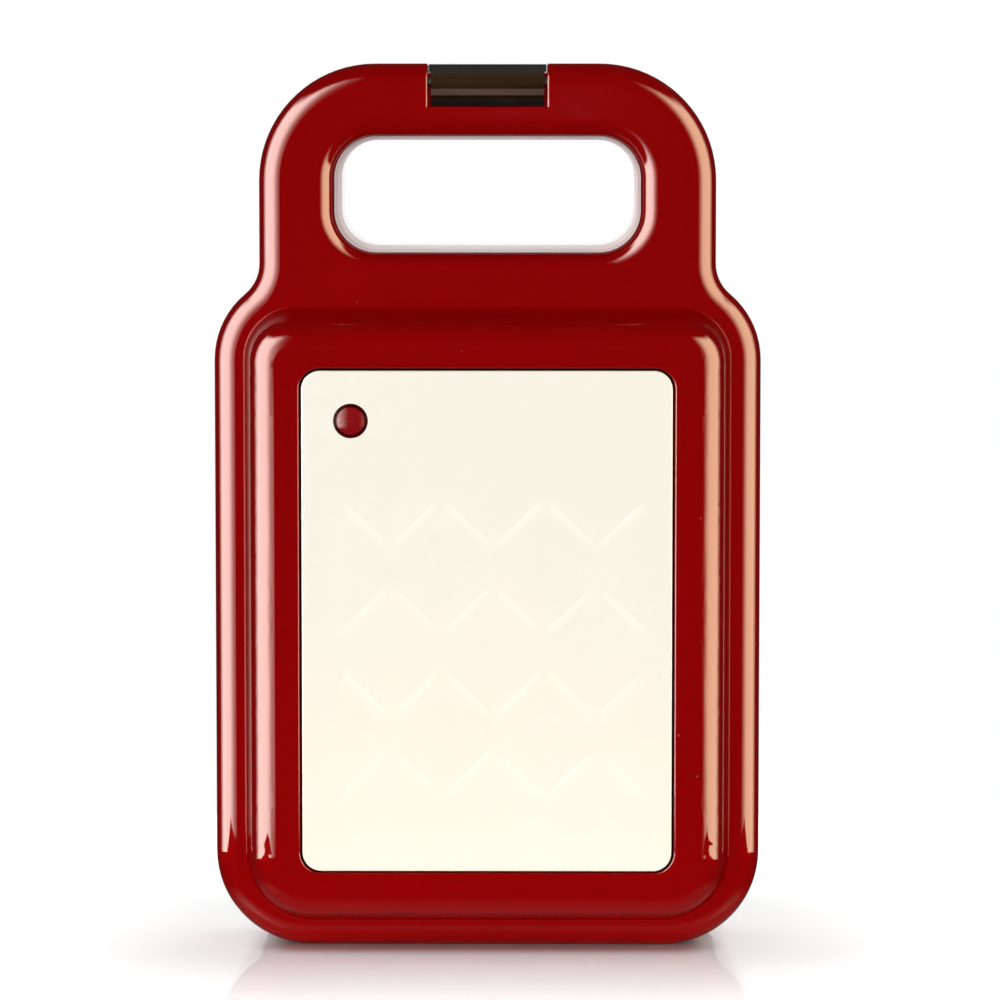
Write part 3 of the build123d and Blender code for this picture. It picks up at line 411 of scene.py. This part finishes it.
gland_nylon = fine_grained("gland_nylon", 3200.0, 3.0, rgb(0.018, 0.018, 0.019), rgb(0.036, 0.036, 0.037),
                           0.46, 0.14, 0.00004, 0.8)
wear(gland_nylon, "cord_gland")

# Inner frames: heat-proof black plastic that closes each half around its cooking plate.
# The visible face has a sand-fine texture with a few rubbed spots.
frame_black, frame_tree = new_finish("frame_black")
frame_grain = frame_tree.noise(2800.0, 4.0)
frame_rub = frame_tree.between(frame_tree.noise(60.0, 5.0), 0.55, 0.75)
close_finish(
    frame_tree,
    Base_Color=frame_tree.mix(frame_rub, rgb(0.016, 0.016, 0.017), rgb(0.028, 0.028, 0.029)),
    Roughness=0.50 + 0.12 * frame_grain - 0.14 * frame_rub,
    Specular_IOR_Level=0.2,
    Normal=frame_tree.bump(frame_grain, 0.00005, 0.9),
)
wear(frame_black, "lid_inner_frame", "base_inner_frame", "lamp_holder")

# Cooking plates: die-cast aluminium, sprayed with a dark non-stick coat full of fine flakes.
# The coat is thinner and brighter where bread has rubbed the tops of the ribs.
plate_coat, coat_tree = new_finish("nonstick_coat")
flake_cell = coat_tree.node("TexVoronoi", "Color", Vector=coat_tree.place(), Scale=3600.0)
flake = coat_tree.node("TexWhiteNoise", "Value", Vector=flake_cell) > 0.93
outward = coat_tree.along("Y")
rib_top = 0.0065
rub_full, rub_end = 0.00005, 0.0004
rub = 1.0 - coat_tree.between(abs(abs(outward) - rib_top), rub_full, rub_end)
rub = rub * coat_tree.noise(240.0, 5.0)
coat_peel = coat_tree.noise(900.0, 2.0)
coat_base = coat_tree.mix(flake * 0.5, rgb(0.020, 0.020, 0.022), rgb(0.16, 0.155, 0.15))
close_finish(
    coat_tree,
    Base_Color=coat_tree.mix(coat_tree.between(rub, 0.3, 0.8), coat_base, rgb(0.10, 0.095, 0.09)),
    Metallic=0.35,
    Roughness=0.36 + 0.1 * coat_peel - 0.1 * flake,
    Normal=coat_tree.bump(coat_peel * 0.7 + flake * 0.3, 0.00004, 0.6),
)
wear(plate_coat, "upper_plate", "lower_plate")

# Heat trays and heaters: aluminised sheet pans behind the plates, and sheathed elements in them.
# The pans keep the mill's rolling lines, and the sheaths have browned from firing.
rolled_upright = (1.0, 1.0, 0.03)
even_grain = (1.0, 1.0, 1.0)
tray_sheet = metal("tray_sheet", rgb(0.74, 0.75, 0.76), 0.18, 1500.0, rolled_upright, 0.00002, 0.25)
wear(tray_sheet, "upper_tray", "lower_tray")
heater_sheath = metal("heater_sheath", rgb(0.20, 0.17, 0.14), 0.42, 1800.0, even_grain, 0.00003, 0.8)
wear(heater_sheath, "upper_heater", "lower_heater")

# Release slides: grey satin nylon tongues that hold the plates, each with its small steel spring.
# Three ribs give the fingertip a hold.
slide_grey = fine_grained("slide_grey", 2200.0, 3.0, rgb(0.30, 0.305, 0.31), rgb(0.35, 0.352, 0.356),
                          0.42, 0.12, 0.00003, 0.7)
wear(slide_grey, "upper_release_slide", "lower_release_slide")
spring_wire = metal("spring_wire", rgb(0.62, 0.61, 0.60), 0.22, 2600.0, even_grain, 0.00001, 0.2)
wear(spring_wire, "upper_release_spring", "lower_release_spring")

# Frame screws: zinc-plated pan heads with a cross recess, six to each half.
# One screw is turned in profile, its recess is pressed in, and the copies stand at different turns.
head_radius = 0.0028
head_height = 0.0015
shank_radius = 0.00145
shank_length = 0.009
cross_arm = 0.0017
cross_half = 0.00036
cross_depth = 0.0009
cross_taper = 0.45
head_profile = [(0.0, 0.0), (0.0012, 0.00002), (0.0019, 0.00010), (0.0024, 0.00030), (head_radius, 0.00085),
                (head_radius, head_height), (shank_radius, head_height),
                (shank_radius, head_height + shank_length), (0.0, head_height + shank_length)]


def turned_screw(name, out):
    """A pan-head screw whose head faces along out times Y, with a cross pressed into it."""
    profile = [(radius, -out * depth) for radius, depth in head_profile]
    body = placed(name, turned(name, profile, 40, 1e-7))
    cross = bmesh.new()
    for turn in (0.0, math.pi / 2):
        arm = bmesh.ops.create_cube(cross, size=1.0)["verts"]
        bmesh.ops.scale(cross, vec=(2 * cross_arm, 2 * cross_depth, 2 * cross_half), verts=arm)
        for vert in arm:
            if vert.co.y * out < 0:
                vert.co.x *= cross_taper
        bmesh.ops.rotate(cross, cent=(0, 0, 0), matrix=Matrix.Rotation(turn, 3, "Y"), verts=arm)
    cutter = placed(name + "_cross", as_mesh(name + "_cross", cross))
    press = body.modifiers.new("cross", "BOOLEAN")
    press.operation = "DIFFERENCE"
    press.solver = "EXACT"
    press.use_self = True
    press.object = cutter
    bpy.context.view_layer.update()
    finished = bpy.data.meshes.new_from_object(body.evaluated_get(bpy.context.evaluated_depsgraph_get()))
    bpy.data.objects.remove(body)
    bpy.data.objects.remove(cutter)
    return finished


screw_turn = 37.0
screw_zinc = metal("screw_zinc", rgb(0.66, 0.65, 0.62), 0.24, 1600.0, even_grain, 0.00002, 0.35)
for screws, out, body in (("lid_screws", 1, "lid"), ("base_screws", -1, "base")):
    low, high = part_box(screws)
    outer = high.x - head_radius
    face_y = high.y if out > 0 else low.y
    handle_z = high.z - head_radius
    loose = [v.co for v in nodes[screws].data.vertices]
    handle_x = max(v.x for v in loose if v.z > handle_z - head_radius) - head_radius
    body_top = max(v.z for v in loose if v.z < handle_z - 2 * head_radius) - head_radius
    seats = [(side * outer, face_y, z) for side in (-1, 1) for z in (low.z + head_radius, body_top)]
    seats += [(side * handle_x, face_y, handle_z) for side in (-1, 1)]
    cross_screws = strew("cross_" + screws, turned_screw(screws + "_shape", out), seats, screw_turn,
                         screw_zinc)
    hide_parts(screws)
    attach(cross_screws, body)

# Hinge pins and latch pin: bright ground steel rods, held by the knuckles they run in.
# Polishing has left faint lines along their length.
ground_steel = metal("ground_steel", rgb(0.66, 0.66, 0.66), 0.14, 3000.0, brushed_along_x, 0.00001, 0.1)
wear(ground_steel, "hinge_pins", "latch_pin")

# Electric parts in the base: snap-disc thermostat, thermal fuse and ceramic terminal block.
# They sit out of sight between the lower tray and the back wall.
drawn_along_x = (0.05, 1.0, 1.0)
thermostat_can = metal("thermostat_can", rgb(0.72, 0.72, 0.71), 0.26, 900.0, even_grain, 0.00003, 0.3)
wear(thermostat_can, "thermostat")
fuse_case = metal("fuse_case", rgb(0.68, 0.63, 0.52), 0.22, 2000.0, drawn_along_x, 0.00001, 0.3)
wear(fuse_case, "thermal_fuse")
steatite = fine_grained("steatite", 1400.0, 5.0, rgb(0.80, 0.78, 0.72), rgb(0.86, 0.84, 0.79),
                        0.62, 0.2, 0.00008, 0.6)
wear(steatite, "terminal_block")
terminal_brass = metal("terminal_brass", rgb(0.78, 0.58, 0.28), 0.24, 1800.0, even_grain, 0.00002, 0.4)
wear(terminal_brass, "terminal_screws")

# Lid cover: the same moulding in a deep red, with a trace of pearl under the gloss.
# The narrow groove round its panel is painted dark as shade.
lid_step = 0.026
lid_red = moulded_gloss("lid_red", rgb(0.255, 0.0005, 0.0010), rgb(0.245, 0.0004, 0.0008), crease=lid_step,
                        sheen=0.0, specks=0.12, metallic=0.05, rough=0.34, inlay=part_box("lid_panel"))
wear(lid_red, "lid_shell")

# Lid panel: cream moulding laid in the lid's recess, with a faint zigzag relief.
# Its surface is glossy with a slow drift of tone, and the raised lines are satin.
line_foot, line_top = 0.04134, 0.04142
panel_cream, panel_tree = new_finish("panel_cream")
panel_drift = panel_tree.between(panel_tree.noise(11.0, 2.0), 0.3, 0.7)
panel_peel = panel_tree.noise(420.0, 2.0)
panel_out = abs(panel_tree.along("Y"))
on_line = panel_tree.between(panel_out, line_foot, line_top)
panel_tone = panel_tree.mix(panel_drift, rgb(0.945, 0.905, 0.79), rgb(0.94, 0.91, 0.80))
close_finish(
    panel_tree,
    Base_Color=panel_tree.mix(on_line * 0.6, panel_tone, rgb(0.90, 0.885, 0.80)),
    Roughness=0.26 + 0.08 * panel_peel + 0.25 * on_line,
    Coat_Weight=0.5 - 0.4 * on_line,
    Coat_Roughness=0.08,
    Normal=panel_tree.bump(panel_peel, 0.00002, 0.5),
)
wear(panel_cream, "lid_panel")

# Indicator lens: red acrylic button with a grid of tiny prisms moulded under its dome.
# It stands in front of a clear neon lamp in a black holder.
lens_x, lens_z = -0.0364, 0.1449
lens_rim_start, lens_rim_full = 0.0035, 0.0038
prism_pitch = 0.00062
prism_slant = 0.58
prism_depth = 0.00010
lens_red, lens_tree = new_finish("lens_red")
lens_place = lens_tree.node("Mapping", Vector=lens_tree.place(), Location=(-lens_x, 0.0, -lens_z))
lens_across = lens_tree.along("X", lens_place)
lens_up = lens_tree.along("Z", lens_place)
prism_cells = [value.maths("PINGPONG", value, prism_pitch / 2) * (2 / prism_pitch)
               for value in (lens_across + lens_up * prism_slant, lens_across - lens_up * prism_slant)]
prism = prism_cells[0] * prism_cells[1]
lens_squared = lens_across * lens_across + lens_up * lens_up
lens_reach = lens_squared.maths("SQRT", lens_squared)
# Painted shade: the lens's edge is coloured near black, and its coat and prisms fade out there.
painted_rim_shade = lens_tree.between(lens_reach, lens_rim_start, lens_rim_full)
lens_tone = lens_tree.mix(lens_tree.between(prism, 0.15, 0.60), rgb(0.09, 0.0008, 0.0015),
                          rgb(0.70, 0.018, 0.024))
close_finish(
    lens_tree,
    Base_Color=lens_tree.mix(painted_rim_shade, lens_tone, rgb(0.045, 0.0004, 0.0008)),
    Roughness=0.22 + 0.12 * prism,
    Specular_IOR_Level=0.0,
    Coat_Weight=0.9 - 0.85 * painted_rim_shade,
    Coat_Roughness=0.06,
    Normal=lens_tree.bump(prism * (1.0 - painted_rim_shade), prism_depth, 0.8),
)
wear(lens_red, "lamp_lens")
lamp_glass, glass_tree = new_finish("lamp_glass")
glass_tint = glass_tree.noise(500.0, 2.0)
close_finish(
    glass_tree,
    Base_Color=glass_tree.mix(glass_tint, rgb(0.88, 0.60, 0.46), rgb(0.94, 0.70, 0.55)),
    Roughness=0.05 + 0.05 * glass_tint,
    Alpha=0.45,
)
wear(lamp_glass, "neon_lamp")

# Latch: dark brown glossy moulding that rocks in the handle's notch and hooks over a steel catch.
# Its tone drifts at random; the top is painted paler as a painted reflection, the ridge carries a painted
# highlight, and below the ridge it is darkest with painted shade.
latch_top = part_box("latch")[1].z
top_reflection_start, top_reflection_full = latch_top - 0.0040, latch_top - 0.0015
ridge_low, ridge_high = 0.2315, 0.2331
ridge_front = -0.0252
ridge_edge = 0.0002
darkest = 0.2300
latch_brown, latch_tree = new_finish("latch_brown")
latch_up = latch_tree.along("Z")
latch_in = latch_tree.along("Y")
latch_smear = latch_tree.between(latch_tree.noise(130.0, 4.0, (0.4, 1.0, 1.0)), 0.4, 0.75)
latch_peel = latch_tree.noise(500.0, 2.0)
# Painted highlight: a lighter band along the ridge.
painted_ridge_highlight = latch_tree.between(latch_up, ridge_low - ridge_edge, ridge_low)
painted_ridge_highlight = painted_ridge_highlight * (1.0 - latch_tree.between(latch_up, ridge_high, ridge_high + ridge_edge))
painted_ridge_highlight = painted_ridge_highlight * (1.0 - latch_tree.between(latch_in, ridge_front, ridge_front + 2 * ridge_edge))
# Painted reflection: the top is painted paler.
painted_top_reflection = latch_tree.between(latch_up, top_reflection_start, top_reflection_full)
latch_tone = latch_tree.mix(latch_smear, rgb(0.020, 0.0085, 0.0030), rgb(0.026, 0.011, 0.0045))
latch_tone = latch_tree.mix(painted_top_reflection, latch_tone, rgb(0.034, 0.026, 0.020))
# Painted shade: darkest below the ridge, where it curves in.
painted_shade_under_ridge = 1.0 - latch_tree.between(latch_up, darkest, ridge_low)
latch_tone = latch_tree.mix(painted_shade_under_ridge, latch_tone, rgb(0.0035, 0.0020, 0.0010))
close_finish(
    latch_tree,
    Base_Color=latch_tree.mix(painted_ridge_highlight, latch_tone, rgb(0.070, 0.042, 0.032)),
    Roughness=0.24 + 0.10 * latch_smear,
    Specular_IOR_Level=0.2,
    Coat_Weight=0.6,
    Coat_Roughness=0.05,
    Normal=latch_tree.bump(latch_peel, 0.00002, 0.5),
)
wear(latch_brown, "latch")
black_wire = metal("black_wire", rgb(0.035, 0.034, 0.033), 0.5, 2600.0, even_grain, 0.00001, 0.2)
wear(black_wire, "latch_spring")
catch_plating = metal("catch_plating", rgb(0.68, 0.68, 0.67), 0.2, 1700.0, drawn_along_x, 0.00002, 0.25)
wear(catch_plating, "latch_catch", "catch_screws")

# Floor: a white acrylic board, which takes a short reflection and a soft shadow near the object, the shadow
# partly cast by the lamps and partly painted.
# Past its edges the white background goes on.
board_half = 0.21
stand_half_width, stand_half_depth = 0.050, 0.022
board_paint = 0.58
contact_start, contact_end, shadow_end = 0.004, 0.018, 0.12
mirror_reach, mirror_share = 0.20, 0.30
board_mesh = bpy.data.meshes.new("white_board")
board_mesh.from_pydata([(-board_half, -board_half, 0), (board_half, -board_half, 0),
                        (board_half, board_half, 0), (-board_half, board_half, 0)], [], [(0, 1, 2, 3)])
white_board = placed("white_board", board_mesh)


def light(tree, strength, colour=rgb(1.0, 1.0, 1.0)):
    """Plain light, white unless asked otherwise."""
    return tree.node("Emission", Color=colour, Strength=strength)


board_white, board_tree = new_finish("board_white")
board_x = board_tree.along("X")
board_y = board_tree.along("Y")
beyond_x = board_x.maths("MAXIMUM", abs(board_x) - stand_half_width, 0.0)
beyond_y = board_y.maths("MAXIMUM", abs(board_y) - stand_half_depth, 0.0)
away_squared = beyond_x * beyond_x + beyond_y * beyond_y
away = away_squared.maths("SQRT", away_squared)
in_gloss = board_tree.node("LightPath", "Is Glossy Ray")
seen = board_tree.node("LightPath", "Is Camera Ray")
seen = seen.maths("MAXIMUM", seen, board_tree.node("LightPath", "Is Transmission Ray"))
seen = seen.maths("MAXIMUM", seen, in_gloss)
# Painted shadow: the glow seen by camera and gloss dims towards the object, and darker still at the contact
# line.
brightening = 0.42 * board_tree.between(away, contact_start, contact_end)
brightening = brightening + 0.58 * board_tree.between(away, 0.0, shadow_end)
glow = board_tree.node("MixShader", i0=seen * brightening, i1=light(board_tree, 0.0),
                       i2=light(board_tree, 1.0))
paint = board_tree.node("BsdfDiffuse", Color=rgb(board_paint, board_paint, board_paint))
board_light = board_tree.node("AddShader", i0=paint, i1=glow)
mirror = board_tree.node("BsdfGlossy", Color=rgb(1.0, 1.0, 1.0), Roughness=0.04)
reflecting = (1.0 - board_tree.between(away, 0.0, mirror_reach)) * mirror_share
surface = board_tree.node("MixShader", i0=reflecting, i1=board_light, i2=mirror)
# Painted dark reflection: in gloss the board shows mostly as a dim light, dimmest next to the object.
far_in_gloss = in_gloss * (0.65 + 0.35 * board_tree.between(away, 0.01, 0.05))
surface = board_tree.node("MixShader", i0=far_in_gloss, i1=surface, i2=light(board_tree, 0.02))
board_tree.node("OutputMaterial", Surface=surface)
board_mesh.materials.append(board_white)

# Studio: a tall light box on each side, the right one warmer and weaker, and a dim room in front.
# Behind the object the room is white, and an even light from all round softens the shadows.
scene = bpy.context.scene
world = bpy.data.worlds.new("studio")
scene.world = world
world.use_nodes = True
room = Finish(world.node_tree)
sight = room.node("TexCoord", "Generated")
to_right = room.along("X", sight)
to_back = room.along("Y", sight)
to_top = room.along("Z", sight)
round_way = to_right.maths("ARCTAN2", to_right, to_back * -1.0)
left_box_angles, left_box_strength = (5.0, 44.0, 74.0, 104.0), 15.5
right_box_angles, right_box_strength = (16.0, 50.0, 78.0, 108.0), 11.5


def box_face(way, start, full, fading, end):
    """A light box's brightness over the turn from the front, in degrees, soft at both ends."""
    rising = room.between(way, math.radians(start), math.radians(full))
    return rising * (1.0 - room.between(way, math.radians(fading), math.radians(end)))


box_height = room.between(to_top, -0.36, -0.24) * (1.0 - room.between(to_top, 0.60, 0.76))
reflected = light(room, room.between(to_back, 0.94, 0.99) + 0.02)
for way, angles, strength, colour in (
        (round_way * -1.0, left_box_angles, left_box_strength, rgb(1.0, 0.91, 0.83)),
        (round_way, right_box_angles, right_box_strength, rgb(1.0, 0.82, 0.53))):
    light_box = light(room, box_face(way, *angles) * box_height * strength, colour)
    reflected = room.node("AddShader", i0=reflected, i1=light_box)
ambient = light(room, 0.38 + 0.4 * room.between(to_back, 0.0, 0.5))
mirrored = room.node("LightPath", "Is Glossy Ray")
through = room.node("LightPath", "Is Transmission Ray")
lit = room.node("MixShader", i0=mirrored, i1=ambient, i2=reflected)
direct = room.node("LightPath", "Is Camera Ray")
direct = direct.maths("MAXIMUM", direct, through)
room.node("OutputWorld", Surface=room.node("MixShader", i0=direct, i1=lit, i2=light(room, 1.0)))

# Lamps: wide square panels in front and behind, and a small one beyond the camera.
# They light the surfaces and aren't seen in their gloss.
middle = Vector((0.0, 0.0, 0.12))
for name, place, width, power in (("front_lamp", (-0.25, -2.4, 0.45), 0.9, 13.0),
                                  ("near_camera_lamp", (0.02, -2.4, 0.28), 0.16, 22.0),
                                  ("back_lamp", (0.5, 2.4, 1.1), 1.2, 13.0)):
    panel = bpy.data.lights.new(name, "AREA")
    panel.shape = "SQUARE"
    panel.size = width
    panel.energy = power
    lamp = placed(name, panel)
    lamp.location = place
    lamp.rotation_euler = (middle - lamp.location).to_track_quat("-Z", "Y").to_euler()
    lamp.visible_glossy = False

# Camera: a long lens, five degrees above the object's middle and half a degree to the right.
# The shift puts the object where the photograph has it.
camera_turn, camera_rise, camera_reach = math.radians(0.5), math.radians(5.0), 1.3
camera_data = bpy.data.cameras.new("camera")
camera_data.lens = 169.6
camera_data.sensor_width = 36.0
camera_data.shift_x = 0.0118
camera_data.shift_y = 0.0005
camera_data.clip_start = 0.05
camera = placed("camera", camera_data)
camera.location = middle + camera_reach * Vector((math.sin(camera_turn) * math.cos(camera_rise),
                                                  -math.cos(camera_turn) * math.cos(camera_rise),
                                                  math.sin(camera_rise)))
camera.rotation_euler = (middle - camera.location).to_track_quat("-Z", "Y").to_euler()
scene.camera = camera
scene.view_settings.view_transform = "Standard"
